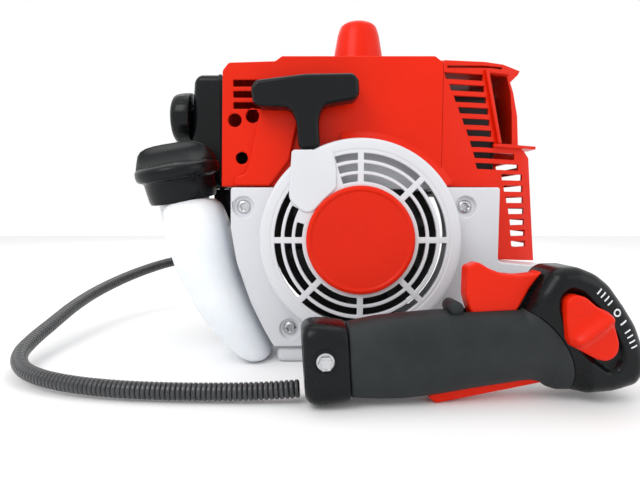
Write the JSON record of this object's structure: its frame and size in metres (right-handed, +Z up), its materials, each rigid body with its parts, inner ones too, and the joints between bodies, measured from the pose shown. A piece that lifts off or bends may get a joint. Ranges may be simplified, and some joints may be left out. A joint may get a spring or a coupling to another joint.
{
  "type": "concrete vibrator power head",
  "caption": "Portable petrol concrete vibrator power head with recoil starter, fuel tank, clutch output flange and a corded throttle handle.",
  "frame": {"origin": "on the floor under the crankshaft, at the foot's bottom face", "axes": "+Z up; -Y towards the recoil starter; +Y along the crankshaft towards the output flange; +X towards the muffler"},
  "size_m": [0.413, 0.3215, 0.268],
  "materials": {
    "red_plastic": "moulded, satin gloss",
    "white_plastic": "moulded, satin",
    "tank_plastic": "blow-moulded, translucent",
    "black_plastic": "fine texture",
    "grip_plastic": "soft matt grip",
    "rubber": "matt",
    "cast_aluminium": "as cast",
    "steel": "machined",
    "dark_steel": "blackened",
    "filter_foam": "open foam",
    "fuel_hose": "clear, yellowed",
    "rope": "braided"
  },
  "bodies": {
    "engine": {"air_filter_base": "black_plastic", "air_filter_cover": "black_plastic", "air_filter_element": "filter_foam", "base_foot": "white_plastic", "cable_bracket": "steel", "carburettor": "cast_aluminium", "centre_badge": "red_plastic", "clutch_housing": "cast_aluminium", "conduit": "black_plastic", "crankcase_front": "cast_aluminium", "crankcase_rear": "cast_aluminium", "cylinder": "cast_aluminium", "engine_gland": "black_plastic", "engine_shroud": "red_plastic", "front_bearing": "steel", "fuel_line": "fuel_hose", "fuel_tank": "tank_plastic", "ignition_coil": "dark_steel", "ignition_lead": "rubber", "muffler": "steel", "muffler_guard": "red_plastic", "output_bearing": "steel", "plug_boot": "rubber", "plug_cover": "red_plastic", "rear_bearing": "steel", "recoil_spring": "steel", "reel_screw": "steel", "rope_bushing": "steel", "spark_plug": "steel", "starter_housing": "white_plastic", "starter_screw_1": "steel", "starter_screw_2": "steel", "starter_screw_3": "steel", "starter_screw_4": "steel"},
    "crank": {"crankshaft_front": "steel", "crankshaft_rear": "steel", "flywheel": "cast_aluminium", "starter_pawl": "steel", "clutch_hub": "steel", "clutch_shoe_1": "dark_steel", "clutch_shoe_2": "dark_steel"},
    "piston": {"piston": "cast_aluminium", "connecting_rod": "steel"},
    "output": {"clutch_drum": "steel"},
    "reel": {"rope_reel": "black_plastic"},
    "starter_pull": {"starter_grip": "black_plastic", "starter_rope": "rope"},
    "cap_carrier": {"cap_seal": "rubber"},
    "cap": {"fuel_cap": "black_plastic"},
    "filter_screw": {"filter_knob": "black_plastic"},
    "carb_flap": {"carb_throttle": "steel"},
    "choke": {"choke_lever": "steel"},
    "primer": {"primer_bulb": "rubber"},
    "handle": {"handle_clamp": "black_plastic", "handle_grip": "grip_plastic", "handle_head": "black_plastic", "clamp_bolt": "steel"},
    "trigger": {"throttle_trigger": "red_plastic"},
    "lockout": {"lockout_lever": "red_plastic"},
    "switch": {"stop_switch": "red_plastic"}
  },
  "joints": [
    {"name": "starter_pull", "type": "slide", "parent": "engine", "child": "starter_pull", "axis": [-0.0698, 0, 0.9976], "range_m": [0, 0.8], "stiffness_N_per_m": 8, "springref_m": -0.4, "deforming": ["starter_rope"]},
    {"name": "reel_spin", "type": "hinge", "parent": "engine", "child": "reel", "pos_m": [0, -0.0865, 0.092], "axis": [0, 1, 0], "range_deg": [-5, 1500]},
    {"name": "crank_spin", "type": "hinge", "parent": "engine", "child": "crank", "pos_m": [0, 0, 0.092], "axis": [0, 1, 0], "continuous": true},
    {"name": "piston_stroke", "type": "slide", "parent": "engine", "child": "piston", "axis": [0, 0, 1], "range_m": [-0.032, 0]},
    {"name": "output_spin", "type": "hinge", "parent": "engine", "child": "output", "pos_m": [0, 0, 0.092], "axis": [0, 1, 0], "continuous": true},
    {"name": "cap_lift", "type": "slide", "parent": "engine", "child": "cap_carrier", "axis": [-0.1549, -0.1392, 0.9781], "range_m": [-0.0001, 0.0085]},
    {"name": "cap_turn", "type": "hinge", "parent": "cap_carrier", "child": "cap", "pos_m": [-0.131, -0.06, 0.122], "axis": [-0.1549, -0.1392, 0.9781], "range_deg": [0, 720]},
    {"name": "filter_knob_turn", "type": "hinge", "parent": "engine", "child": "filter_screw", "pos_m": [-0.14, -0.012, 0.188], "axis": [-1, 0, 0], "range_deg": [0, 360]},
    {"name": "carb_throttle", "type": "hinge", "parent": "engine", "child": "carb_flap", "pos_m": [-0.061, -0.005, 0.153], "axis": [0, 0, 1], "range_deg": [-1, 76]},
    {"name": "choke_turn", "type": "hinge", "parent": "engine", "child": "choke", "pos_m": [-0.087, -0.005, 0.153], "axis": [0, 0, 1], "range_deg": [0, 75]},
    {"name": "primer_press", "type": "slide", "parent": "engine", "child": "primer", "axis": [0, -1, 0], "range_m": [0, 0.0025], "stiffness_N_per_m": 500},
    {"name": "handle_lift", "type": "slide", "parent": "engine", "child": "handle", "axis": [0, 0, 1], "range_m": [0, 0.12]},
    {"name": "trigger_pull", "type": "hinge", "parent": "handle", "child": "trigger", "pos_m": [0.09309, -0.14583, 0.06032], "axis": [0.0698, -0.9976, 0], "range_deg": [0, 20], "stiffness_Nm_per_rad": 0.6, "springref_deg": -5.73},
    {"name": "lockout_press", "type": "hinge", "parent": "handle", "child": "lockout", "pos_m": [0.1045, -0.14503, 0.01386], "axis": [-0.0698, 0.9976, 0], "range_deg": [0, 8], "stiffness_Nm_per_rad": 0.6, "springref_deg": -5.73},
    {"name": "switch_turn", "type": "hinge", "parent": "handle", "child": "switch", "pos_m": [0.12711, -0.1625, 0.04632], "axis": [0.0698, -0.9976, 0], "range_deg": [-12, 12]}
  ],
  "couplings": [
    {"joint": "reel_spin", "follows": "starter_pull", "rad_per_m": 32.573},
    {"joint": "cap_lift", "follows": "cap_turn", "m_per_rad": 0.00063662},
    {"joint": "carb_throttle", "follows": "trigger_pull", "ratio": 3.75}
  ]
}
